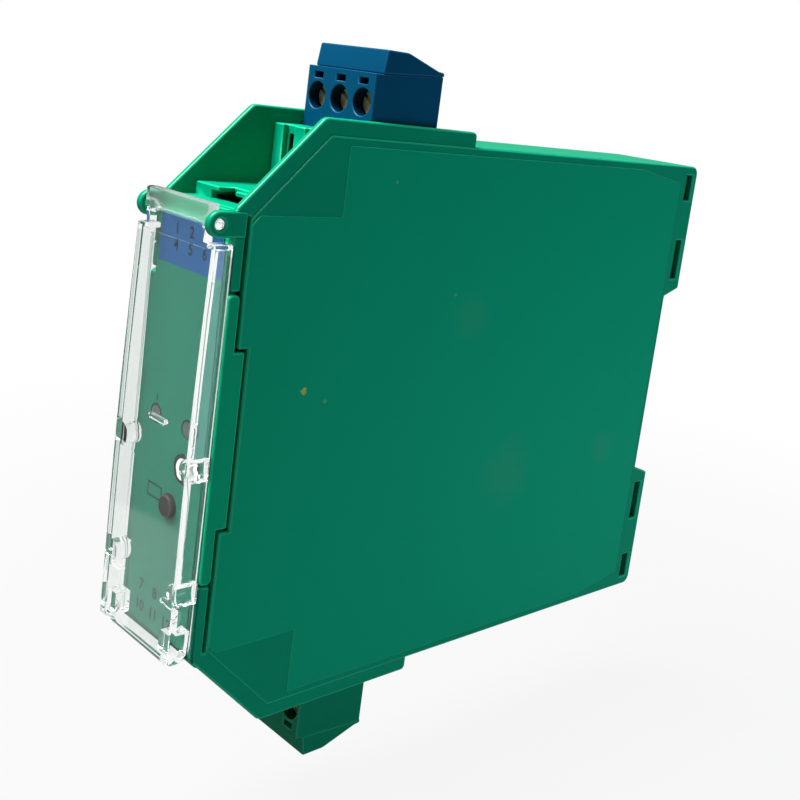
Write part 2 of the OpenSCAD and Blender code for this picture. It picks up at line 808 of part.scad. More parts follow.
// Clamp cage of pole i, drawn forward by its screw
module clamp_cage(i) {
    cheek_t = 0.6;
    thread_play = 0.05;
    x = pole_x(i);
    half = cage_w / 2;
    open_half = half - cheek_t;
    rear = cage_y + cage_d;
    difference() {
        span([x - half, cage_y, screw_z - cage_h / 2], [x + half, rear, screw_z + cage_h / 2]);
        span([x - open_half, cage_y + cage_t, screw_z - cage_h],
             [x + open_half, rear - cage_t, screw_z + cage_h]);
        bar_y_at(x, screw_z, cage_y - 1, cage_y + cage_t + 1, screw_r + thread_play);
    }
}

module upper_block_body() {
    color(BLUE) block_body();
}

module upper_block_cap() {
    color(BLUE) block_cap();
}

module upper_block_contacts() {
    color(BRASS) block_contacts();
}

module lower_block_body() {
    color(GREEN) mirror([0, 0, 1]) block_body();
}

module lower_block_cap() {
    color(GREEN) mirror([0, 0, 1]) block_cap();
}

module lower_block_contacts() {
    color(BRASS) mirror([0, 0, 1]) block_contacts();
}

module upper_screw(i) {
    color(BRASS) clamp_screw(i);
}

module upper_cage(i) {
    color(STEEL) clamp_cage(i);
}

module lower_screw(i) {
    color(BRASS) mirror([0, 0, 1]) clamp_screw(i);
}

module lower_cage(i) {
    color(STEEL) mirror([0, 0, 1]) clamp_cage(i);
}

// Main board on the posts of the housing, narrow between the bays and full height behind them
board_front_y = front_board_y + board_t + fit_gap;
board_rear_y = -shell_t - 3.5;
board_low_h = ledge_h - shell_t - 2.5;
board_high_h = body_h - shell_t - 1;

module circuit_board() {
    step_y = cheek_rear_y + 1;
    color([0.1, 0.35, 0.2]) side_solid(board_x - board_t, board_x, both([
        [board_front_y, board_low_h], [step_y, board_low_h], [step_y, board_high_h],
        [board_rear_y, board_high_h]
    ]));
}

// Parts on the main board reach close to the side cover
part_h = inner_x - board_x - 1.3;

// Transformer core with the windows of its winding and the stud on top
module isolating_transformer() {
    core_d = 1.75 * part_h;
    core_h = 2 * part_h;
    window_d = 0.3 * part_h;
    window_h = 1.3 * part_h;
    stud_r = 0.35 * part_h;
    stud_h = 0.5;
    y = cheek_rear_y + core_d;
    z = 0.7 * part_h;
    color([0.2, 0.2, 0.21]) {
        difference() {
            span([board_x, y - core_d / 2, z - core_h / 2],
                 [board_x + part_h, y + core_d / 2, z + core_h / 2]);
            for (s = [-1, 1])
                translate([board_x + part_h / 2, y + s * core_d / 4, z])
                    cube([part_h + 2, window_d, window_h], center = true);
        }
        bar_x(board_x + part_h - eps, board_x + part_h + stud_h, y, z, stud_r);
    }
}

module board_capacitors() {
    can_r = 0.47 * part_h;
    can_z = -1.65 * part_h;
    color([0.15, 0.2, 0.3]) {
        for (y = [cheek_rear_y - part_h, cheek_rear_y + 0.2 * part_h])
            bar_x(board_x, board_x + part_h, y, can_z, can_r);
        bar_x(board_x, board_x + 0.8 * part_h, rear_post_y - part_h, can_z, 0.8 * can_r);
    }
}

// Chips on the main board: place in Y and Z, length, height over the board
chip_front_y = riser_y + 2;
chip_rear_y = rear_post_y - 2;
board_parts = [[chip_front_y, 8, 10, 1.8], [chip_front_y, -8, 10, 1.8], [chip_front_y + 15, 10, 7, 2.6],
               [chip_front_y + 23, 16, 5, 3.4], [chip_rear_y, 18, 12, 1.8], [chip_rear_y, -4, 8, 2.6]];

module board_chips() {
    chip_w = 6;
    color([0.08, 0.08, 0.09]) for (p = board_parts)
        span([board_x, p[0] - chip_w / 2, p[1] - p[2] / 2],
             [board_x + p[3], p[0] + chip_w / 2, p[1] + p[2] / 2]);
}

// Sliding latch below the rail with its foot, its tooth and the lug that the spring pushes up
module rail_latch() {
    side = hook_w / 2;
    foot_t = 1.6;
    foot_lip = 0.8;
    color([0.12, 0.12, 0.13]) {
        mirror([0, 0, 1]) hook_tooth(seat_h + 4);
        span([-side, latch_y, latch_foot_z], [side, latch_y + hook_t, -seat_h - 3]);
        span([-side - 1, latch_y - foot_lip, latch_foot_z],
             [side + 1, latch_y + hook_t + foot_lip, latch_foot_z + foot_t]);
        span([-side + 1, spring_y - spring_r - spring_t, lug_z - lug_t], [side - 1, latch_y + eps, lug_z]);
    }
}

// Meander spring of steel strip between the latch's lug and the lower guide, with a flat pad at each end
module latch_spring() {
    legs = 8;
    low = guide_low_z + 0.05;
    high = lug_z - lug_t - 0.05;
    pitch = (high - low) / legs;
    bend = spring_r - spring_t / 2;
    path = [for (i = [0 : legs]) [spring_y - spring_t / 2 + (i % 2 == 0 ? bend : -bend), low + i * pitch]];
    back = [for (i = [legs : -1 : 0]) path[i] + [spring_t, 0]];
    color(STEEL) {
        side_solid(-spring_w / 2, spring_w / 2, concat(path, back));
        for (z = [low, high - spring_t / 2])
            span([-spring_w / 2, spring_y - spring_r, z],
                 [spring_w / 2, spring_y + spring_r, z + spring_t / 2]);
    }
}

housing_body();
side_cover();
front_panel();
front_label();
clear_cover();
status_led();
power_led();
service_socket();
set_button();
button_switch();
front_board();
upper_terminal_base();
lower_terminal_base();
upper_header_pins();
lower_header_pins();
circuit_board();
isolating_transformer();
board_capacitors();
board_chips();
rail_latch();
latch_spring();
upper_block_body();
upper_block_cap();
upper_block_contacts();
upper_screw(1);  // upper_screw_1
upper_screw(2);  // upper_screw_2
upper_screw(3);  // upper_screw_3
upper_cage(1);  // upper_cage_1
upper_cage(2);  // upper_cage_2
upper_cage(3);  // upper_cage_3
lower_block_body();
lower_block_cap();
lower_block_contacts();
lower_screw(1);  // lower_screw_1
lower_screw(2);  // lower_screw_2
lower_screw(3);  // lower_screw_3
lower_cage(1);  // lower_cage_1
lower_cage(2);  // lower_cage_2
lower_cage(3);  // lower_cage_3
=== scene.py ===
# %% [markdown]
# # Signal isolator
# A slim rail-mounted box of green plastic, with a clear hinged cover over its label and plug-in screw terminals
# above and below. The CAD model gives every shape its place. Here the mouldings get rounded edges, each finish gets
# a procedural material, and the label gets its printed numbers.

# %% Load the frame
import json
import math

import bmesh
import bpy
from mathutils import Matrix, Vector
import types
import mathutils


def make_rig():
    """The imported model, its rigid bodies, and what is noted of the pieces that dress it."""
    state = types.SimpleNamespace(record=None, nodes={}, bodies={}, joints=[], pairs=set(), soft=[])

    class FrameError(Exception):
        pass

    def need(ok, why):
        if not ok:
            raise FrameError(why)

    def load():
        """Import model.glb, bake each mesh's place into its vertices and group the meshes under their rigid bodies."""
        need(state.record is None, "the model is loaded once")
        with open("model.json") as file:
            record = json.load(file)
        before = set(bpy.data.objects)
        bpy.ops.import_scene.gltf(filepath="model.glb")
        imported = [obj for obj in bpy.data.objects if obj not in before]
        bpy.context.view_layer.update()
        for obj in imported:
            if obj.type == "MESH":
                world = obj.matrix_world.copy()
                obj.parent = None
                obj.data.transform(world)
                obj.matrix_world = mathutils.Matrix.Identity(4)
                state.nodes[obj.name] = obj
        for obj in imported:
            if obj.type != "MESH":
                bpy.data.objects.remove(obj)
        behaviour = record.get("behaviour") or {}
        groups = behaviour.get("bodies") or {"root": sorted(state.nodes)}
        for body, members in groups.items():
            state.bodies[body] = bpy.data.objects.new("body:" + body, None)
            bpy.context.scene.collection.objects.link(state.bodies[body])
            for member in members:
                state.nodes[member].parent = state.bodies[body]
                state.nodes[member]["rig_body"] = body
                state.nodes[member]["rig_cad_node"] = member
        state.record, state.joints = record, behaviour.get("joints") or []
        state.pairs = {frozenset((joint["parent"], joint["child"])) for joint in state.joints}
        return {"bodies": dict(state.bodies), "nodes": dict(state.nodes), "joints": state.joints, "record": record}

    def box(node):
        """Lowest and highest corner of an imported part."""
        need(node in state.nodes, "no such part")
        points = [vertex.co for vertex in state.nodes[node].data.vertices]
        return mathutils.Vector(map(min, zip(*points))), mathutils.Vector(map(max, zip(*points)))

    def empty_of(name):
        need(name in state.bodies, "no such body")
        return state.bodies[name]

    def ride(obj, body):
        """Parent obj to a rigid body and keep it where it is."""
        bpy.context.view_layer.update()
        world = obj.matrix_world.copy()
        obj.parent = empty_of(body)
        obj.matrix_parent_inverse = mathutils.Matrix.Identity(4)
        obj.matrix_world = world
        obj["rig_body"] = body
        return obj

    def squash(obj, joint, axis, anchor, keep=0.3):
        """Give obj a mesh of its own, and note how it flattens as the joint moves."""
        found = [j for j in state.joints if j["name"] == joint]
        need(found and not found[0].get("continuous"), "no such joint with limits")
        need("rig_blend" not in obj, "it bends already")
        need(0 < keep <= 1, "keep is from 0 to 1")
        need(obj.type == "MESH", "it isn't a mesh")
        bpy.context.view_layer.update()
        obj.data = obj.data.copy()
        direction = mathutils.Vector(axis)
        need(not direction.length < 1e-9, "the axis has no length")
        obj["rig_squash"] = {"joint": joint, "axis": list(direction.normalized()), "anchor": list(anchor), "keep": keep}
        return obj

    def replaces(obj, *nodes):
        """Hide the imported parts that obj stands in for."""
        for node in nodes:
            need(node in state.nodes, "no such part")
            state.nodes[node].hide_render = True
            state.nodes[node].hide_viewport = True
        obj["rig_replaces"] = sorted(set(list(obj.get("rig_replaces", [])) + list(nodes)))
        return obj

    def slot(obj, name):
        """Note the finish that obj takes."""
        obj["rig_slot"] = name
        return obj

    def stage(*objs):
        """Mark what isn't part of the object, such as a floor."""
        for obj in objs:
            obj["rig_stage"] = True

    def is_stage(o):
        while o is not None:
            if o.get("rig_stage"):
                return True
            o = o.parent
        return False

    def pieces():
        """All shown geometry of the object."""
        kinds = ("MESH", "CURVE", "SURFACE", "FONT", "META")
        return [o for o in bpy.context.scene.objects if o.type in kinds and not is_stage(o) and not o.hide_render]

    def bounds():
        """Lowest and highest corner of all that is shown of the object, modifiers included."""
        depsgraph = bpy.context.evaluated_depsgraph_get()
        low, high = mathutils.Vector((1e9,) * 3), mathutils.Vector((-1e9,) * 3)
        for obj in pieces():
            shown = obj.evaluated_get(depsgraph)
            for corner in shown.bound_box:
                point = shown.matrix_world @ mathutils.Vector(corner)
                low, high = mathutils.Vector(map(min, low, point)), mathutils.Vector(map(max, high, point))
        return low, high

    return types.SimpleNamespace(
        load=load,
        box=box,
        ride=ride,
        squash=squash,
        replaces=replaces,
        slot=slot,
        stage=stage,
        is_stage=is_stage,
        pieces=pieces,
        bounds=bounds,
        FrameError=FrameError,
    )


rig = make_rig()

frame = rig.load()
cad_box = [list(corner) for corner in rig.bounds()]
scene = bpy.context.scene
MM = 0.001
body_of_node = {node: body for body, nodes in frame["record"]["behaviour"]["bodies"].items() for node in nodes}
slot_of_node = {row["node"]: row["material_slot"] for row in frame["record"]["subparts"]}
print(len(frame["nodes"]), "nodes on", len(frame["bodies"]), "bodies")

# %% [markdown]
# ## Camera
# The photograph was taken from the front right, a little above the middle, with the part leaning in the frame. The
# camera's place comes from the part's own corners: a fit of where each one appears. The picture was cropped off
# centre, and the lens shift says by how much. Light takes long paths through a clear cover, so the limits on its
# bounces are raised here too.

# %% Camera
IMAGE = 800
FOCAL_PX = 1146.78
CENTRE_PX = (460, 295)
CAMERA_AT = Vector((139.956, -194.266, 53.651)) * MM
AZIMUTH, ELEVATION, ROLL = (math.radians(a) for a in (43.96, 10.079, -7.891))

camera_data = bpy.data.cameras.new("camera")
camera_data.sensor_width = 36
camera_data.lens = FOCAL_PX * camera_data.sensor_width / IMAGE
camera_data.shift_x = (IMAGE / 2 - CENTRE_PX[0]) / IMAGE
camera_data.shift_y = (CENTRE_PX[1] - IMAGE / 2) / IMAGE
camera_data.clip_start = 0.01
camera = bpy.data.objects.new("camera", camera_data)
scene.collection.objects.link(camera)
forward = Vector((-math.sin(AZIMUTH) * math.cos(ELEVATION), math.cos(AZIMUTH) * math.cos(ELEVATION),
                  -math.sin(ELEVATION)))
level = forward.cross(Vector((0, 0, 1))).normalized()
up = level.cross(forward) * math.cos(ROLL) + level * math.sin(ROLL)
right = forward.cross(up)
camera.matrix_world = Matrix.Translation(CAMERA_AT) @ Matrix((right, up, -forward)).transposed().to_4x4()
scene.camera = camera
cycles = scene.cycles
cycles.max_bounces, cycles.glossy_bounces, cycles.transmission_bounces, cycles.transparent_max_bounces = 32, 24, 24, 64
print("lens", round(camera_data.lens, 2), "mm")

# %% [markdown]
# ## Shader maths as Python
# A finish is a small formula over the surface. This class wraps one socket of a node tree, so that `1 - mask` or
# `grain * 0.2 + 0.4` adds the Math nodes by itself. Every other node comes from the one method `node`.

# %% Socket maths
class Sock:
    """One output socket of a node tree. Arithmetic on it adds Math nodes."""

    def __init__(self, tree, socket=None):
        self.tree = tree
        self.socket = socket

    def node(self, kind, settings=None, inputs=None, out=0):
        """Adds a node: its settings first, then values or links of its sockets."""
        made = self.tree.nodes.new(kind)
        for key, value in (settings or {}).items():
            setattr(made, key, value)
        for key, value in (inputs or {}).items():
            if isinstance(value, Sock):
                self.tree.links.new(value.socket, made.inputs[key])
            else:
                made.inputs[key].default_value = value
        return Sock(self.tree, made.outputs[out]) if made.outputs else made

    def math(self, operation, a, b=0.0, clamp=False):
        """One Math node over two values or sockets."""
        return self.node("ShaderNodeMath", {"operation": operation, "use_clamp": clamp}, {0: a, 1: b})

    def __add__(self, other): return self.math("ADD", self, other)
    def __radd__(self, other): return self.math("ADD", other, self)
    def __sub__(self, other): return self.math("SUBTRACT", self, other)
    def __rsub__(self, other): return self.math("SUBTRACT", other, self)
    def __mul__(self, other): return self.math("MULTIPLY", self, other)
    def __gt__(self, other): return self.math("GREATER_THAN", self, other)
    def __lt__(self, other): return self.math("LESS_THAN", self, other)

    def size(self): return self.math("ABSOLUTE", self)
    def clamped(self): return self.math("ADD", self, 0.0, clamp=True)

    def ramp(self, low, high):
        """0 below low, 1 above high, smooth between."""
        return self.node("ShaderNodeMapRange", {"interpolation_type": "SMOOTHSTEP"},
                         {"Value": self, "From Min": low, "From Max": high})

    def mix(self, a, b):
        """Colour a where this mask is 0, colour b where it is 1."""
        rgba = [value if isinstance(value, Sock) else (*value, 1) for value in (a, b)]
        return self.node("ShaderNodeMix", {"data_type": "RGBA"}, {"Factor": self, 6: rgba[0], 7: rgba[1]}, out=2)


print("socket maths ready")

# %% [markdown]
# ## Helpers for materials
# Every finish starts from the piece's own coordinates, uses noise of a known size, and ends in a Principled shader.
# Object coordinates stay with a piece when it moves, and need no unwrapping, which pictures would.

# %% Material helpers
def new_material(name):
    """An empty material and the wrapped socket of its Object coordinates."""
    material = bpy.data.materials.new(name)
    material.use_nodes = True
    material.node_tree.nodes.clear()
    place = Sock(material.node_tree).node("ShaderNodeTexCoord", out=3)
    return material, place


def noise(place, size_mm, detail=2.0, stretch=(1, 1, 1)):
    """Noise whose features are about size_mm across, longer where stretch is above 1."""
    drawn = place.node("ShaderNodeMapping", None, {"Vector": place, "Scale": [1 / s for s in stretch]})
    return place.node("ShaderNodeTexNoise", None, {"Vector": drawn, "Scale": 1000 / size_mm, "Detail": detail})


def axis(place, which):
    """One of the three Object coordinates, in metres."""
    return place.node("ShaderNodeSeparateXYZ", None, {"Vector": place}, out="XYZ".index(which))


def finish_material(place, **sockets):
    """Gives the material a Principled shader with these sockets; names use _ for spaces."""
    tree = place.tree
    shader = tree.nodes.new("ShaderNodeBsdfPrincipled")
    for key, value in sockets.items():
        socket = shader.inputs[key.replace("_", " ")]
        if isinstance(value, Sock):
            tree.links.new(value.socket, socket)
        else:
            socket.default_value = value
    output = tree.nodes.new("ShaderNodeOutputMaterial")
    tree.links.new(shader.outputs[0], output.inputs[0])


print("material helpers ready")

# %% [markdown]
# ## Moulded plastics
# The housing is polyamide with a fine spark-eroded grain: almost flat in colour, with slow drifts in tone where the
# melt flowed, and a soft sheen. A texture picture could show that, but noise at the right sizes does it from every
# side. One function makes all the mouldings, and each colour passes its own values. Three things are painted over a
# piece: a painted highlight on the rounds of the edges, which also get a glossy coat, painted shade in the depths of
# the screw holes, and painted shade on the fronts beside the label film, under the cover, as dark as the film.

# %% What varies over a moulding
def attribute(place, name):
    """A number that a piece's faces carry, 0 where they have none."""
    return place.node("ShaderNodeAttribute", {"attribute_name": name}, out=2)


def scaled(colour, factor):
    """A colour made lighter or darker."""
    return tuple(min(1.0, c * factor) for c in colour)


FILM_GREEN = (0.006, 0.118, 0.073)
FILM_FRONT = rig.box("front_label")[0][1]
COVERED_SIDE, COVERED_TOP = 9.6 * MM, 28.4 * MM


def cover_shade_mask(place, depth_mm):
    """Mask of the front faces that show next to the label film, under the cover, where painted shade goes."""
    across = axis(place, "X").size() < COVERED_SIDE
    return (axis(place, "Y") < FILM_FRONT + depth_mm * MM) * across * (axis(place, "Z") < COVERED_TOP)


print("film front at", round(FILM_FRONT / MM, 2), "mm")

# %% Moulded plastic
DRIFT_MM, GRAIN_DEPTH = 14, 0.05 * MM
RIM_COAT, RIM_COAT_ROUGH = 0.4, 0.3
# Painted shade in the screw holes: how much of it covers them, and how dark it is.
HOLE_SHADE_COVER, HOLE_SHADE_TONE = 0.7, 0.03


def moulded_plastic(name, colour, drift=0.03, rough=0.42, grain_mm=0.22, grain=0.05, marks=None, specular=0.05,
                    painted_rim_gain=1.5, cover_shade_mm=None):
    """Grained plastic. The faces of its rounds get a painted highlight, which is a painted dark ring where the rim
    gain is below 1, and its screw holes get painted shade. marks paints over the colour and changes the gloss, and
    the front faces down to the given millimetres behind the film's front get painted shade as dark as the film."""
    material, place = new_material(name)
    slow = noise(place, DRIFT_MM, 3)
    fine = noise(place, grain_mm, 2)
    tone = slow.ramp(0.3, 0.7).mix(scaled(colour, 1 - drift), scaled(colour, 1 + drift))
    roughness = rough + (fine - 0.5) * 0.12 + (slow - 0.5) * 0.1
    if marks:
        tone, roughness = marks(place, tone, roughness)
    # Painted highlight on the rounds: their colour times the rim gain. A gain below 1 paints a dark ring of shade.
    rim = attribute(place, "rim") * (0.7 + slow * 0.6)
    tone = rim.clamped().mix(tone, scaled(colour, painted_rim_gain))
    # Painted shade on the fronts beside the film, under the cover: as dark as the film, and without the rims' highlight
    # and coat.
    if cover_shade_mm:
        front = cover_shade_mask(place, cover_shade_mm)
        tone, rim = front.mix(tone, FILM_GREEN), rim * (1 - front)
    # Painted shade in the screw holes.
    tone = (attribute(place, "hole_shade") * HOLE_SHADE_COVER).mix(tone, scaled(colour, HOLE_SHADE_TONE))
    bump = place.node("ShaderNodeBump", None, {"Strength": grain, "Distance": GRAIN_DEPTH, "Height": fine})
    finish_material(place, Base_Color=tone, Roughness=roughness.clamped(), Normal=bump, Specular_IOR_Level=specular,
                    Coat_Weight=(rim * RIM_COAT).clamped(), Coat_Roughness=RIM_COAT_ROUGH)
    return material


print("moulded plastic ready")

# %% [markdown]
# ## Marks of use
# The right side has been handled: it carries faint smudges, pale nicks and one small chip. They could be painted on
# a picture. A distance from a point needs none, and noise makes the edge of each mark ragged.

# %% Marks of use
def spot(place, centre_mm, size_mm, ragged):
    """Mask of a soft round spot at a point, in millimetres, with a ragged edge."""
    centre = [c * MM for c in centre_mm]
    away = place.node("ShaderNodeVectorMath", {"operation": "DISTANCE"}, {0: place, 1: centre}, out=1)
    reach = away * (1000 / size_mm) + (noise(place, size_mm * 0.6, 3) - 0.5) * ragged
    return 1 - reach.ramp(0.2, 1.0)


GREEN = (0.0, 0.272, 0.141)
PLATE_FROM, PLATE_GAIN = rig.box("side_cover")[1][0] - 0.07 * MM, 1.2
SMUDGE_TONE, NICK_TONE, CHIP_TONE = (0.16, 0.24, 0.16), (0.2, 0.42, 0.3), (0.42, 0.44, 0.1)
SMUDGES = [((10, -56.1, 16.5), 5.5, 0.06), ((10, -41.4, -13.2), 8.5, 0.07), ((10, -13.1, -12.1), 5.0, 0.06)]
NICKS = [((10, -85.6, 4.6), 0.5), ((10, -76.5, 38.5), 0.35), ((10, -60.5, 20.4), 0.4)]
CHIP = ((10, -89.9, 6.6), 0.75)


def side_marks(place, tone, roughness):
    """The raised plates are lighter than the rest of the sides. The right one has hand smudges, nicks and a chip."""
    plate = axis(place, "X").size() > PLATE_FROM
    tone = plate.mix(tone, scaled(GREEN, PLATE_GAIN))
    for centre, size, strength in SMUDGES:
        mask = spot(place, centre, size, 0.9) * strength
        tone = mask.mix(tone, SMUDGE_TONE)
        roughness = roughness + mask * 0.25
    for centre, size in NICKS:
        tone = (spot(place, centre, size, 0.8) * 0.5).mix(tone, NICK_TONE)
    return spot(place, *CHIP, 1.3).ramp(0.2, 0.5).mix(tone, CHIP_TONE), roughness


print(len(SMUDGES) + len(NICKS) + 1, "marks on the right side")

# %% [markdown]
# ## Colours of the mouldings
# Housing, insert, bay floors and lower block are all green, but each is a moulding of its own with its own tone, so
# each has its own colour here. The lower block's green is also darker by painted shade, such as a floor close under it
# would cast. The terminals on top are blue, as is usual for an intrinsically safe circuit.

# %% Colours of the mouldings
# The housing and the insert get painted shade on their fronts beside the film, under the cover.
housing_green = moulded_plastic("moulded_green", GREEN, marks=side_marks, cover_shade_mm=0.75)
insert_green = moulded_plastic("insert_green", (0.0, 0.34, 0.165), cover_shade_mm=0.3)
bay_green = moulded_plastic("bay_green", (0.0, 0.33, 0.175))
# The lower block's colour is partly its own green and partly painted shade.
block_green_and_shade = moulded_plastic("block_green_and_shade", (0.0, 0.2, 0.103))
terminal_blue = moulded_plastic("moulded_blue", (0.0, 0.07, 0.155), rough=0.5, grain=0.08, painted_rim_gain=1.3)
black_moulding = moulded_plastic("black_moulding", (0.018, 0.018, 0.02), rough=0.5)
button_brown = moulded_plastic("button_brown", (0.016, 0.015, 0.012), rough=0.5)
capacitor_sleeve = moulded_plastic("capacitor_sleeve", (0.02, 0.03, 0.07), rough=0.3, grain=0.02)
pale_moulding = moulded_plastic("pale_moulding", (0.7, 0.72, 0.69), rough=0.4, grain=0.03)
# The lens's rim gets painted shade: a dark ring round it.
lens_grey = moulded_plastic("unlit_lens", (0.065, 0.088, 0.08), rough=0.35, grain=0.02, painted_rim_gain=0.1)
print(len(bpy.data.materials), "materials so far")

# %% [markdown]
# ## Metals and boards
# The clamp screws are yellow-plated and worn dull, with faint lines along their axis, which are stretched noise. The
# boards are glass-fibre laminate under green lacquer, with the weave just showing: two waves that cross.

# %% Metals and boards
def worn_metal(name, colour, tarnish, rough, stretch, metallic):
    """Metal with fine lines along the stretch and patches of tarnish."""
    material, place = new_material(name)
    lines = noise(place, 0.25, 2, stretch)
    stains = noise(place, 1.6, 4)
    tone = stains.ramp(0.4, 0.75).mix(colour, tarnish)
    roughness = rough + (lines - 0.5) * 0.25 + stains * 0.15
    bump = place.node("ShaderNodeBump", None, {"Strength": 0.15, "Distance": 0.00003, "Height": lines})
    finish_material(place, Base_Color=tone, Roughness=roughness.clamped(), Metallic=metallic, Normal=bump)
    return material


screw_brass = worn_metal("screw_brass", (0.8, 0.66, 0.38), (0.45, 0.34, 0.18), 0.25, (1, 6, 1), 0.5)
plated_steel = worn_metal("plated_steel", (0.6, 0.6, 0.58), (0.38, 0.37, 0.35), 0.3, (4, 1, 1), 0.6)


def lacquered_board():
    """Green lacquer over woven laminate, with wide copper areas under it."""
    material, place = new_material("lacquered_board")
    weave = [place.node("ShaderNodeTexWave", {"bands_direction": band}, {"Vector": place, "Scale": 900.0})
             for band in "YZ"]
    cloth = weave[0] * weave[1]
    copper = noise(place, 5, 0, (1, 3, 1)).ramp(0.5, 0.52)
    tone = (copper * 0.6 + cloth * 0.2).mix((0.005, 0.06, 0.025), (0.02, 0.15, 0.06))
    finish_material(place, Base_Color=tone, Roughness=0.25 + cloth * 0.1)
    return material


board_green = lacquered_board()
print("metals and boards ready")

# %% [markdown]
# ## Label film
# The label is a green film with a blue field at its top, printed on a pale base that gives it a slightly milky look.
# The two colours meet at a straight line, so a comparison of the height with that line is all it takes.

# %% Label film
FIELD_LOW = 23.3 * MM
FIELD_SIDE = 7.5 * MM


def label_material():
    """Green film with a blue field at its top."""
    material, place = new_material("printed_film")
    mottle = noise(place, 3, 4)
    side = axis(place, "X")
    field = (axis(place, "Z") > FIELD_LOW) * (side > -FIELD_SIDE) * (side < FIELD_SIDE)
    green = mottle.mix(FILM_GREEN, (0.01, 0.138, 0.088))
    blue = mottle.mix((0.006, 0.058, 0.165), (0.01, 0.068, 0.185))
    tone = field.mix(green, blue)
    finish_material(place, Base_Color=tone, Roughness=0.45 + mottle * 0.15, Specular_IOR_Level=0.05)
    return material


printed_film = label_material()
print("label film ready")

# %% [markdown]
# ## Ink
# The numbers are printed in dark ink that is rubbed a little thinner in places. Noise lightens it there.

# %% Ink
def ink_material():
    """Dark printing ink, a little worn."""
    material, place = new_material("printing_ink")
    worn = noise(place, 0.3, 3)
    tone = worn.ramp(0.45, 0.85).mix((0.006, 0.012, 0.012), (0.02, 0.05, 0.045))
    finish_material(place, Base_Color=tone, Roughness=0.6 + worn * 0.2, Specular_IOR_Level=0.02)
    return material


printing_ink = ink_material()
print("ink ready")

# %% [markdown]
# ## Clear plastic
# The cover is clear polycarbonate. Its edges look white because light runs along inside the plates and leaves at
# their ends, which a refracting shader does by itself once the shape is a true solid. Shadow rays don't refract, so
# the cover would darken the label: Alpha lets most of a shadow ray through instead. A ray that has bounced about
# inside a rib for long goes straight out too, because it would end black. Fine scuffs vary the roughness. The bar at
# the hinge is frosted, and its pins a little. The rear edges of the side walls lie close to the housing, and painted
# shade gives them a grey-green tint.

# %% Clear plastic
TRAPPED_DEPTH = 12
FROSTED_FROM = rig.box("clear_cover")[1][2] - 3.1 * MM
FROSTED, FROSTED_PIN = 0.3, 0.12
PIN_ROOT, PIN_FROM = 8.35 * MM, FROSTED_FROM - 1.6 * MM
WALL_SIDE, WALL_END, WALL_TOP = 9.0 * MM, FILM_FRONT - 0.35 * MM, FROSTED_FROM - 4 * MM
CLEAR_TINT, WALL_SHADE = (0.965, 0.985, 0.975), (0.36, 0.46, 0.42)


def clear_material():
    """Refracting plastic that lets light pass to what it covers."""
    material, place = new_material("clear_plastic")
    scuffs = noise(place, 0.8, 4, (1, 1, 5)).ramp(0.62, 0.85)
    side, up = axis(place, "X").size(), axis(place, "Z")
    pins = (side > PIN_ROOT) * (up > PIN_FROM)
    frosted = (up > FROSTED_FROM) * FROSTED * (1 - pins) + pins * FROSTED_PIN
    shadow_ray = place.node("ShaderNodeLightPath", out="Is Shadow Ray")
    trapped = place.node("ShaderNodeLightPath", out="Ray Depth") > TRAPPED_DEPTH
    # Painted shade, grey-green, on the rear edges of the side walls.
    wall_edge_shade = (side > WALL_SIDE) * (axis(place, "Y") > WALL_END) * (up < WALL_TOP)
    finish_material(place, Base_Color=wall_edge_shade.mix(CLEAR_TINT, WALL_SHADE), Roughness=0.01 + scuffs * 0.04 + frosted,
                    Transmission_Weight=1.0, IOR=1.49, Alpha=(1 - shadow_ray * 0.94 - trapped).clamped())
    return material


clear_plastic = clear_material()
print("clear plastic ready")

# %% [markdown]
# ## Which finish goes where
# Each CAD node names a material slot, and each slot gets one finish. A few nodes have a finish of their own.

# %% Finish of each piece
finish_of_slot = {
    "green_plastic": housing_green, "blue_plastic": terminal_blue, "label_film": printed_film,
    "clear_plastic": clear_plastic, "lens": lens_grey, "black_plastic": black_moulding,
    "button_plastic": button_brown, "board_laminate": board_green, "capacitor_sleeve": capacitor_sleeve,
    "spring_steel": plated_steel, "brass": screw_brass,
}
finish_of_node = {"front_panel": insert_green, "upper_terminal_base": bay_green, "lower_terminal_base": bay_green,
                  "lower_block_body": block_green_and_shade, "lower_block_cap": block_green_and_shade}
print(len(finish_of_slot), "slots and", len(finish_of_node), "nodes have a finish")

# %% [markdown]
# ## Rounded mouldings
# A moulded edge is never sharp: its small round catches a bright line of light, and that line is most of what the
# photograph shows of the steps in the side. Each moulding is a copy of its CAD mesh with a Bevel on the outward
# edges. The steps are only 0.15 mm high, so each edge gets a weight: its round takes at most a share of the
# narrower face beside it. Only the lower edges of the cover's bar stay crisp, because a round there would draw a
# white line across the label.

# %% Room for a round
SHARP = math.radians(28)
FACE_SHARE, HALF_SHARE = 0.85, 0.42
BAR_EDGE, BAR_BAND = FROSTED_FROM + 0.25 * MM, 0.25 * MM


def outward(edge):
    """Whether two faces meet here in an edge that sticks out."""
    return len(edge.link_faces) == 2 and edge.calc_face_angle_signed(0) > SHARP


def room_on(face, edge):
    """How much of a face the round on one of its edges may take: less where the far edge gets a round too."""
    a, b = (v.co for v in edge.verts)
    along = (b - a).normalized()
    reach = max(((v.co - a) - along * (v.co - a).dot(along)).length for v in face.verts)
    rivals = (e for e in face.edges if e is not edge and outward(e))
    shared = any(abs((e.verts[1].co - e.verts[0].co).normalized().dot(along)) > 0.5 for e in rivals)
    return reach * (HALF_SHARE if shared else FACE_SHARE)


def crisp(node, edge):
    """Whether this is a lower edge of the cover's bar."""
    ends = [v.co for v in edge.verts]
    return node == "clear_cover" and all(abs(v.z - BAR_EDGE) < BAR_BAND and abs(v.x) < PIN_ROOT for v in ends)


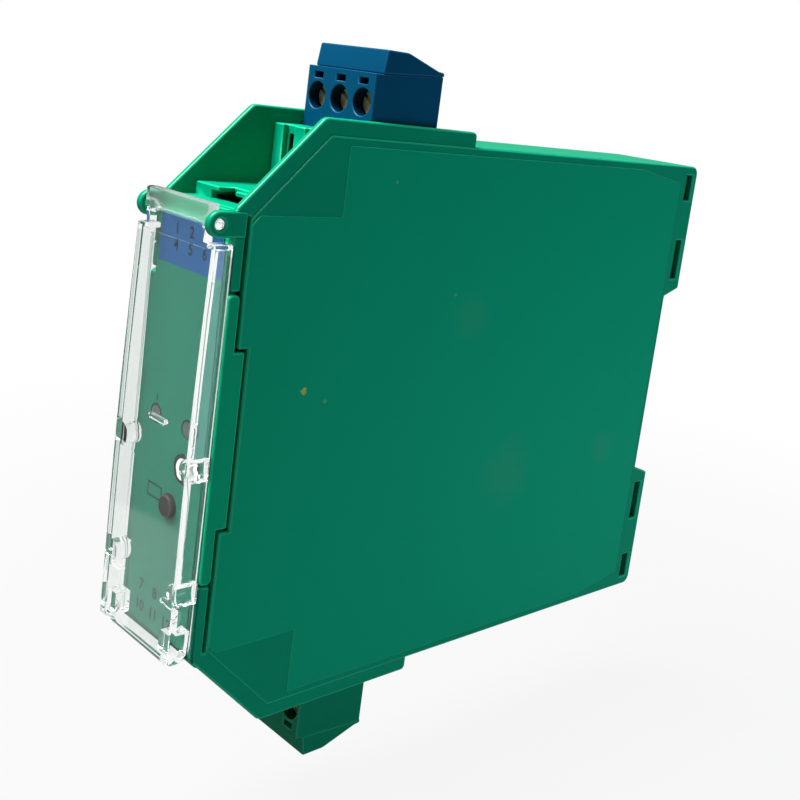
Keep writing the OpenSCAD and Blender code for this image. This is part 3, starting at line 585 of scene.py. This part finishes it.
print("edges sharper than", round(math.degrees(SHARP)), "degrees get a round")

# %% [markdown]
# ## Whole faces and smooth shading
# A CAD mesh is all triangles, and a Bevel needs whole faces: points that coincide are merged and flat triangles are
# joined. The faces that the Bevel makes carry a number, which the plastic reads to give them a painted highlight and a
# glossy coat. Weighted normals keep the flat faces flat, so that only the rounds shade softly.

# %% Copies and their shading
FLAT, BOWED_FLAT = math.radians(0.5), math.radians(0.08)
MERGE = 0.006 * MM
CORNER = math.radians(40)


def plain_copy(node):
    """A merged copy of a CAD node's mesh with its flat faces whole again. The bowed cover keeps its shallow strips."""
    bm = bmesh.new()
    bm.from_mesh(frame["nodes"][node].data)
    bmesh.ops.remove_doubles(bm, verts=bm.verts, dist=MERGE)
    flat = BOWED_FLAT if node == "clear_cover" else FLAT
    bmesh.ops.dissolve_limit(bm, angle_limit=flat, verts=bm.verts, edges=bm.edges)
    return bm


def applied(piece):
    """The piece's mesh with its modifiers worked in."""
    depsgraph = bpy.context.evaluated_depsgraph_get()
    mesh = bpy.data.meshes.new_from_object(piece.evaluated_get(depsgraph), preserve_all_data_layers=True,
                                           depsgraph=depsgraph)
    piece.modifiers.clear()
    piece.data = mesh
    return piece


def mark_rims(mesh):
    """Notes the faces that the Bevel made, which have the second material and get a painted highlight, and gives them
    the first one.
    """
    rims = [float(face.material_index) for face in mesh.polygons]
    mesh.attributes.new("rim", "FLOAT", "FACE").data.foreach_set("value", rims)
    mesh.polygons.foreach_set("material_index", [0] * len(rims))
    mesh.materials.pop()


def keep_inside(mesh, low, high):
    """Puts back what a round pushed out of the CAD node's own box, as it can where a face ends in a thin point."""
    for vertex in mesh.vertices:
        vertex.co = [min(max(c, a), b) for c, a, b in zip(vertex.co, low, high)]


def smoothed(piece):
    """Smooth shading that keeps flat faces flat and breaks at what is still a corner."""
    piece.data.shade_smooth()
    piece.data.set_sharp_from_angle(angle=CORNER)
    normals = piece.modifiers.new("normals", "WEIGHTED_NORMAL")
    normals.keep_sharp = True
    return applied(piece)


print("copies ready")

# %% [markdown]
# ## One rounded piece
# The steps come together: copy, weights, Bevel, shading. The piece then rides on the body of its CAD node and stands
# for that node.

# %% Rounded copy
ROUND_STEPS = 2


def rounded_copy(name, node, radius_mm):
    """A copy of a node with rounded outward edges, which stands for that node and rides on its body."""
    bm = plain_copy(node)
    weights = bm.edges.layers.float.new("bevel_weight_edge")
    radius = radius_mm * MM
    for edge in bm.edges:
        if outward(edge) and not crisp(node, edge):
            edge[weights] = min(1.0, min(room_on(face, edge) for face in edge.link_faces) / radius)
    mesh = bpy.data.meshes.new(name)
    bm.to_mesh(mesh)
    bm.free()
    for _ in ("faces", "rims"):
        mesh.materials.append(finish_of_node.get(node) or finish_of_slot[slot_of_node[node]])
    piece = bpy.data.objects.new(name, mesh)
    scene.collection.objects.link(piece)
    bevel = piece.modifiers.new("edges", "BEVEL")
    bevel.width, bevel.segments, bevel.limit_method = radius, ROUND_STEPS, "WEIGHT"
    bevel.use_clamp_overlap, bevel.profile, bevel.material = False, 0.5, 1
    applied(piece)
    keep_inside(piece.data, *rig.box(node))
    mark_rims(piece.data)
    smoothed(piece)
    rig.ride(piece, body_of_node[node])
    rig.replaces(piece, node)
    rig.slot(piece, slot_of_node[node])
    return piece


print("rounds have", ROUND_STEPS, "steps")

# %% [markdown]
# ## The mouldings and the clamp screws
# Large mouldings have larger rounds than small ones. The radius is in millimetres, and each piece has its own name.

# %% Mouldings and screws
SCREW_ROUND = 0.15
mouldings = {
    "left_shell": ("housing_body", 0.35), "right_cover": ("side_cover", 0.35), "front_insert": ("front_panel", 0.3),
    "upper_bay": ("upper_terminal_base", 0.25), "lower_bay": ("lower_terminal_base", 0.25),
    "blue_block": ("upper_block_body", 0.2), "blue_cap": ("upper_block_cap", 0.25),
    "green_block": ("lower_block_body", 0.2), "green_cap": ("lower_block_cap", 0.25),
    "latch": ("rail_latch", 0.25), "button_cap": ("set_button", 0.3), "cover": ("clear_cover", 0.25),
    "status_lens": ("status_led", 0.25), "power_lens": ("power_led", 0.25), "socket_sleeve": ("service_socket", 0.2),
}
pieces = {}
for name, (node, radius) in mouldings.items():
    pieces[name] = rounded_copy(name, node, radius)
    print(name, len(pieces[name].data.polygons), "faces")
screws = [f"{side}_screw_{i}" for side in ("upper", "lower") for i in (1, 2, 3)]
for node in screws:
    rounded_copy(node.replace("screw", "clamp_screw"), node, SCREW_ROUND)
print(len(screws), "clamp screws")

# %% [markdown]
# ## Latch spring
# The latch is held up by a flat wire spring, bent to and fro, that stands on the housing and shortens when the latch
# is pulled. It could be cut in two halves on two bodies, but a spring shortens along its whole length, so the piece
# is squashed towards its fixed end by as much as the latch travels.

# %% Latch spring
SPRING_ROUND = 0.1
pull = next(joint for joint in frame["record"]["behaviour"]["joints"] if joint["name"] == "latch_pull")
foot_z = pull["deforming_nodes"][0]["fixed_end_z_m"]
spring_low, spring_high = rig.box("latch_spring")
spring_long = max(abs(spring_low[2] - foot_z), abs(spring_high[2] - foot_z))
spring = rounded_copy("wire_spring", "latch_spring", SPRING_ROUND)
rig.squash(spring, "latch_pull", axis=(0, 0, 1), anchor=(0, 0, foot_z), keep=1 - pull["range_m"][1] / spring_long)
print("spring", round(spring_long * 1000, 2), "mm long, shortens by", pull["range_m"][1] * 1000, "mm")

# %% [markdown]
# ## Painted shade in the holes
# The screw holes of the blocks look almost black round the bright screw heads, because their walls lie in shade,
# and that shade is painted. The faces inside each hole carry a number that the plastic's material reads.

# %% Painted shade in the screw holes
HOLE_REACH, HOLE_FROM = 2.25 * MM, 0.3 * MM


def mark_hole_shade(piece, nodes):
    """Marks the faces of a block that lie inside the holes of these screws, which get painted shade."""
    axes = [sum((Vector(corner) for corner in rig.box(node)), Vector()) / 2 for node in nodes]
    front = min(vertex.co.y for vertex in piece.data.vertices)
    hole_shade = []
    for face in piece.data.polygons:
        inside = any(math.hypot(face.center.x - a.x, face.center.z - a.z) < HOLE_REACH for a in axes)
        hole_shade.append(1.0 if inside and face.center.y > front + HOLE_FROM else 0.0)
    piece.data.attributes.new("hole_shade", "FLOAT", "FACE").data.foreach_set("value", hole_shade)
    return int(sum(hole_shade))


print("dark faces:", mark_hole_shade(pieces["blue_block"], screws[:3]), mark_hole_shade(pieces["green_block"], screws[3:]))

# %% [markdown]
# ## Pieces kept from the CAD model
# The label and what sits inside the housing have the right shape already. They only need a finish, which goes into
# the material slots of the CAD objects.

# %% Finishes of the kept nodes
replaced = {node for node, _ in mouldings.values()} | set(screws) | {"latch_spring"}
for node, obj in frame["nodes"].items():
    if node not in replaced:
        obj.data.materials.clear()
        obj.data.materials.append(finish_of_slot[slot_of_node[node]])
print("kept", len(frame["nodes"]) - len(replaced), "CAD nodes")

# %% [markdown]
# ## Printed numbers
# The terminals are numbered on the label: three in a row, in the order of the clamps. Blender's text objects draw
# them. Each one becomes a mesh, is turned to face the front, and is laid a hair in front of the film, so that it
# reads as ink. Its outlines have few steps: finer ones cross each other when the strokes are widened, and then 6, 8
# and 9 lose parts. A small number marks the status light, and an empty box stands beside the button.

# %% One printed number
INK = 0.004 * MM
FONT_PER_HEIGHT, STROKE_GAIN, OUTLINE_STEPS = 1.4, 0.07, 4


def printed(text, x_mm, z_mm, height_mm):
    """The mesh data of one printed number, centred at a place on the label."""
    curve = bpy.data.curves.new("text", "FONT")
    curve.body, curve.size = text, height_mm * FONT_PER_HEIGHT
    curve.offset, curve.resolution_u = STROKE_GAIN, OUTLINE_STEPS
    curve.align_x, curve.align_y = "CENTER", "CENTER"
    holder = bpy.data.objects.new("text", curve)
    scene.collection.objects.link(holder)
    mesh = bpy.data.meshes.new_from_object(holder.evaluated_get(bpy.context.evaluated_depsgraph_get()))
    bpy.data.objects.remove(holder)
    upright = Matrix.Rotation(math.pi / 2, 4, "X") @ Matrix.Scale(MM, 4)
    mesh.transform(Matrix.Translation((x_mm * MM, FILM_FRONT - INK, z_mm * MM)) @ upright)
    return mesh


print("letters widened by", STROKE_GAIN, "mm")

# %% Box and joining
def joined(name, meshes):
    """One object made of several meshes."""
    bm = bmesh.new()
    for mesh in meshes:
        bm.from_mesh(mesh)
    whole = bpy.data.meshes.new(name)
    bm.to_mesh(whole)
    bm.free()
    piece = bpy.data.objects.new(name, whole)
    scene.collection.objects.link(piece)
    return piece


def box_outline(x_mm, z_mm, wide, high, line):
    """The mesh data of an empty printed box."""
    bm = bmesh.new()
    for dx, dz, w, h in ((0, high, wide, line), (0, -high, wide, line), (wide, 0, line, high), (-wide, 0, line, high)):
        corners = [(x_mm + dx / 2 + a * (w + line) / 2, z_mm + dz / 2 + b * (h + line) / 2)
                   for a, b in ((-1, -1), (1, -1), (1, 1), (-1, 1))]
        bm.faces.new([bm.verts.new((x * MM, FILM_FRONT - INK, z * MM)) for x, z in corners])
    mesh = bpy.data.meshes.new("box")
    bm.to_mesh(mesh)
    bm.free()
    return mesh


print("box outline ready")

# %% Numbers on the label
COLUMNS = (-3.1, 0.75, 4.4)
ROWS = {28.6: ("1", "2", "3"), 26.2: ("4", "5", "6"), -26.6: ("7", "8", "9"), -29.9: ("10", "11", "12")}
LOWER_SHIFT, DIGIT_HEIGHT = -0.8, 1.75
LIGHT_NUMBER = ("1", -4.3, 3.0, 1.1)
BUTTON_BOX = (-2.7, -11.1, 3.7, 2.0, 0.12)
words = [printed(text, x + (LOWER_SHIFT if z < 0 else 0), z, DIGIT_HEIGHT)
         for z, texts in ROWS.items() for x, text in zip(COLUMNS, texts)]
words += [printed(*LIGHT_NUMBER), box_outline(*BUTTON_BOX)]
numbers = joined("label_numbers", words)
numbers.data.materials.append(printing_ink)
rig.ride(numbers, "housing")
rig.slot(numbers, "label_film")
print("numbers", len(numbers.data.polygons), "faces")

# %% [markdown]
# ## Socket face
# The service socket is a dark ring round a pale face with a hole for the plug. Its profile is turned round the
# socket's axis, which gives the face a soft rim.

# %% Socket face
SOCKET_PROFILE = [(0.55, 1.2), (0.55, 0.1), (0.7, -0.02), (1.45, -0.05), (1.6, 0.0), (1.6, 0.06), (1.2, 0.06),
                  (1.2, 1.2), (0.55, 1.2)]
TURN_STEPS = 48


def turned(name, centre, profile_mm):
    """A solid of revolution round the Y axis through a point; the profile is pairs of radius and depth."""
    bm = bmesh.new()
    ring = [bm.verts.new((centre.x + r * MM, centre.y + d * MM, centre.z)) for r, d in profile_mm]
    edges = [bm.edges.new(pair) for pair in zip(ring, ring[1:])]
    bmesh.ops.spin(bm, geom=ring + edges, cent=centre, axis=(0, 1, 0), angle=math.tau, steps=TURN_STEPS,
                   use_merge=True)
    bmesh.ops.recalc_face_normals(bm, faces=bm.faces)
    mesh = bpy.data.meshes.new(name)
    bm.to_mesh(mesh)
    bm.free()
    piece = bpy.data.objects.new(name, mesh)
    scene.collection.objects.link(piece)
    return smoothed(piece)


low, high = (Vector(corner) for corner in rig.box("service_socket"))
socket_front = Vector(((low.x + high.x) / 2, low.y, (low.z + high.z) / 2))
socket_face = turned("socket_face", socket_front, SOCKET_PROFILE)
socket_face.data.materials.append(pale_moulding)
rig.ride(socket_face, "housing")
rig.slot(socket_face, "lens")
print("socket face", len(socket_face.data.polygons), "faces")

# %% [markdown]
# ## Rows of small parts
# The latch's foot has grip ribs, and every chip on the board has two rows of legs. Both are a short bent bar that
# repeats along a line, so one Geometry Nodes tree makes them all: a curve swept with a round profile, set on the
# points of a line.

# %% Row tree
ROW_INPUTS = {"Count": "NodeSocketInt", "First": "NodeSocketVector", "Step": "NodeSocketVector",
              "Start": "NodeSocketVector", "Middle": "NodeSocketVector", "End": "NodeSocketVector",
              "Thickness": "NodeSocketFloat", "Finish": "NodeSocketMaterial"}


def row_tree():
    """The node tree: one bent bar, set on the points of a line."""
    tree = bpy.data.node_groups.new("row_of_bars", "GeometryNodeTree")
    for name, kind in ROW_INPUTS.items():
        tree.interface.new_socket(name, in_out="INPUT", socket_type=kind)
    tree.interface.new_socket("Geometry", in_out="OUTPUT", socket_type="NodeSocketGeometry")
    given = tree.nodes.new("NodeGroupInput")
    value = {name: Sock(tree, given.outputs[name]) for name in ROW_INPUTS}
    make = Sock(tree).node
    line = make("GeometryNodeMeshLine", {"mode": "OFFSET"},
                {"Count": value["Count"], "Start Location": value["First"], "Offset": value["Step"]})
    path = make("GeometryNodeCurveQuadraticBezier", None, {
        "Resolution": 6, "Start": value["Start"], "Middle": value["Middle"], "End": value["End"]})
    profile = make("GeometryNodeCurvePrimitiveCircle", None, {"Resolution": 10, "Radius": value["Thickness"]})
    bar = make("GeometryNodeCurveToMesh", None, {"Curve": path, "Profile Curve": profile, "Fill Caps": True})
    bars = make("GeometryNodeInstanceOnPoints", None, {"Points": line, "Instance": bar})
    solid = make("GeometryNodeRealizeInstances", None, {"Geometry": bars})
    done = make("GeometryNodeSetMaterial", None, {"Geometry": solid, "Material": value["Finish"]})
    tree.links.new(done.socket, tree.nodes.new("NodeGroupOutput").inputs[0])
    return tree


ROW_TREE = row_tree()
ROW_SOCKET = {item.name: item.identifier for item in ROW_TREE.interface.items_tree if item.in_out == "INPUT"}


def row(name, **values):
    """A row of bars as a plain mesh."""
    piece = bpy.data.objects.new(name, bpy.data.meshes.new(name))
    scene.collection.objects.link(piece)
    modifier = piece.modifiers.new("row", "NODES")
    modifier.node_group = ROW_TREE
    for key, value in values.items():
        modifier[ROW_SOCKET[key]] = value
    return applied(piece)


print("row tree", len(ROW_TREE.nodes), "nodes")

# %% [markdown]
# ## Latch ribs
# The foot of the latch is pulled with a screwdriver or a fingertip, and three ribs across its back give grip. They
# are straight bars, half sunk in the foot, and they ride on the latch.

# %% Latch ribs
RIB_COUNT, RIB_STEP, RIB_R, RIB_INSET = 3, 0.4 * MM, 0.13 * MM, 0.6 * MM
latch_points = [v.co for v in frame["nodes"]["rail_latch"].data.vertices]
foot_low = min(v.z for v in latch_points)
foot = [v for v in latch_points if v.z < foot_low + 1 * MM]
foot_back = max(v.y for v in foot)
half = max(v.x for v in foot) - RIB_INSET
ribs = row("latch_ribs", Count=RIB_COUNT, First=(0, foot_back, foot_low + RIB_STEP), Step=(0, 0, RIB_STEP),
           Start=(-half, 0, 0), Middle=(0, 0, 0), End=(half, 0, 0), Thickness=RIB_R, Finish=black_moulding)
smoothed(ribs)
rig.ride(ribs, "latch")
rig.slot(ribs, slot_of_node["rail_latch"])
print("latch ribs", len(ribs.data.polygons), "faces")

# %% [markdown]
# ## Chip legs
# Each chip stands on two rows of bent legs, soldered to the board. The chips are separate solids of one CAD node, so
# the script looks for the box of each and sets a row along both of its long sides.

# %% Chip legs
LEG_PITCH, LEG_OUT, LEG_R = 1.27 * MM, 0.9 * MM, 0.17 * MM


def islands(mesh):
    """The boxes of a mesh's separate solids."""
    bm = bmesh.new()
    bm.from_mesh(mesh)
    bmesh.ops.remove_doubles(bm, verts=bm.verts, dist=1e-6)
    left, boxes = set(bm.verts), []
    while left:
        group, edge = set(), {left.pop()}
        while edge:
            group |= edge
            edge = {e.other_vert(v) for v in edge for e in v.link_edges} - group
        left -= group
        boxes.append([Vector([pick(v.co[i] for v in group) for i in range(3)]) for pick in (min, max)])
    bm.free()
    return boxes


rows = []
for chip_low, chip_high in islands(frame["nodes"]["board_chips"].data):
    count = max(2, int((chip_high.z - chip_low.z) / LEG_PITCH))
    first_z = (chip_low.z + chip_high.z - (count - 1) * LEG_PITCH) / 2
    lift = (chip_high.x - chip_low.x) * 0.5
    for y, out in ((chip_low.y, -LEG_OUT), (chip_high.y, LEG_OUT)):
        rows.append(row("legs", Count=count, First=(chip_low.x, y, first_z), Step=(0, 0, LEG_PITCH),
                        Start=(lift, -out * 0.1, 0), Middle=(lift, out * 0.8, 0), End=(LEG_R, out, 0), Thickness=LEG_R,
                        Finish=plated_steel))
legs = joined("chip_legs", [piece.data for piece in rows])
for piece in rows:
    bpy.data.objects.remove(piece)
legs.data.materials.append(plated_steel)
smoothed(legs)
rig.ride(legs, "housing")
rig.slot(legs, slot_of_node["latch_spring"])
print("chip legs", len(legs.data.polygons), "faces")

# %% [markdown]
# ## Sky
# The photograph's background is white and its light is soft. A white sky would light the part from all sides and
# wash it out, so the sky is white only for rays that show it, from the camera or through clear plastic. What mirrors
# it sees it dimmer, because the label under the cover has to stay clear, and it lights the part faintly.

# %% Sky
SKY_LIGHT, SKY_MIRRORED = 0.13, 0.3
world = bpy.data.worlds.new("sky")
scene.world = world
world.use_nodes = True
world.node_tree.nodes.clear()
sky = Sock(world.node_tree)


def viewed(sock):
    """Two masks: rays that show the background, from the camera or through glass, and rays that mirror it."""
    camera_ray, glossy, through, depth = (sock.node("ShaderNodeLightPath", out=name) for name in (
        "Is Camera Ray", "Is Glossy Ray", "Is Transmission Ray", "Ray Depth"))
    seen = (camera_ray + through + (depth > TRAPPED_DEPTH)).clamped()
    return seen, (glossy - seen).clamped()


seen, mirrored = viewed(sky)
strength = SKY_LIGHT + seen * (1 - SKY_LIGHT) + mirrored * (SKY_MIRRORED - SKY_LIGHT)
background = sky.node("ShaderNodeBackground", None, {"Color": (1, 1, 1, 1), "Strength": strength})
sky.node("ShaderNodeOutputWorld", None, {"Surface": background})
scene.view_settings.view_transform = "Standard"
print("sky", SKY_LIGHT)

# %% [markdown]
# ## Lamps
# One large soft lamp above the front left makes the upper faces bright and leaves the right side in its own shade. A
# weak one close to the right side lifts it a little. Glossy faces don't mirror that one, which would show as a disc.

# %% Lamps
CENTRE = Vector((0, -0.052, 0))


def soft_lamp(name, towards, distance, size, power, colour, mirrored_too=True):
    """A round area lamp that looks at the part's middle from a direction."""
    data = bpy.data.lights.new(name, "AREA")
    data.shape, data.size, data.energy, data.color = "DISK", size, power, colour
    lamp = bpy.data.objects.new(name, data)
    scene.collection.objects.link(lamp)
    direction = Vector(towards).normalized()
    lamp.location = CENTRE + direction * distance
    lamp.rotation_mode = "QUATERNION"
    lamp.rotation_quaternion = direction.to_track_quat("Z", "Y")
    lamp.visible_glossy = mirrored_too


soft_lamp("key", (-0.22, -0.38, 0.9), 0.8, 0.5, 15.5, (1, 1, 1))
soft_lamp("right_fill", (0.88, 0.4, -0.2), 0.18, 0.15, 0.13, (0.8, 1, 1.2), mirrored_too=False)
print("two lamps")

# %% [markdown]
# ## Floor
# Pale paper that keeps a faint shadow. It lies a little further below the part than the lower block and the latch
# travel, so they don't dip into it. The cover's plate mirrors what lies ahead of it, and in the photograph that
# mirror image is lighter above a straight edge, as if a pale card lay there. So the floor glows for mirrored rays,
# more on the card, and for rays that the plate's rear face mirrors inside the plate.

# %% Floor
FLOOR_Z = cad_box[0][2] - 13.5 * MM
FLOOR_HALF = 1.5
PAPER = (0.22, 0.22, 0.22), (0.25, 0.25, 0.25)
CARD_FRONT, CARD_EDGE, CARD_TURN, CARD_SOFT = -0.11, -0.2117, 0.234, 0.003
GLOW, GLOW_AHEAD, GLOW_CARD = 0.3, 0.03, 0.4


def floor_material():
    """Paper that is white to the camera, but for the shadow, and glows for rays that mirror it."""
    material, place = new_material("pale_floor")
    emit = {light: place.node("ShaderNodeEmission", None, {"Color": (1, 1, 1, 1), "Strength": light})
            for light in (0.0, 1.0)}
    paper = place.node("ShaderNodeBsdfDiffuse", None, {"Color": noise(place, 40, 3).mix(*PAPER)})
    away = place.node("ShaderNodeVectorMath", {"operation": "LENGTH"}, {0: place}, out=1)
    whiter = away.ramp(0.08, 0.3) * 0.1 + 0.9
    side, depth = axis(place, "X"), axis(place, "Y")
    ahead = (side < 0) * (depth < CARD_FRONT)
    on_card = (depth + side * CARD_TURN).ramp(CARD_EDGE - CARD_SOFT, CARD_EDGE + CARD_SOFT)
    card = GLOW + ahead * (GLOW_AHEAD + on_card * GLOW_CARD)
    seen, mirrored = viewed(place)
    mirrors, passes = (place.node("ShaderNodeLightPath", out=name) for name in ("Glossy Depth", "Transmission Depth"))
    in_plate = ahead * seen * (mirrors > 0.5) * (mirrors < 1.5) * (passes < 2.5)
    glow = place.node("ShaderNodeMixShader", None, {0: card, 1: emit[0.0], 2: emit[1.0]})
    lit = place.node("ShaderNodeMixShader", None, {0: mirrored + in_plate, 1: paper, 2: glow})
    shown = place.node("ShaderNodeMixShader", None, {0: (seen - in_plate) * whiter, 1: lit, 2: emit[1.0]})
    place.node("ShaderNodeOutputMaterial", None, {"Surface": shown})
    return material


bm = bmesh.new()
bmesh.ops.create_grid(bm, x_segments=8, y_segments=8, size=FLOOR_HALF)
bmesh.ops.translate(bm, verts=bm.verts, vec=(0, 0, FLOOR_Z))
floor_mesh = bpy.data.meshes.new("floor")
bm.to_mesh(floor_mesh)
bm.free()
floor_mesh.materials.append(floor_material())
floor = bpy.data.objects.new("floor", floor_mesh)
scene.collection.objects.link(floor)
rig.stage(floor)
print("floor at", round(FLOOR_Z, 4), "m")

# %% Size
json.dump({"cad": cad_box, "visual": [list(corner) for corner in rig.bounds()]}, open("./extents.json", "w"))
print("size", json.load(open("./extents.json")))

# %% [markdown]
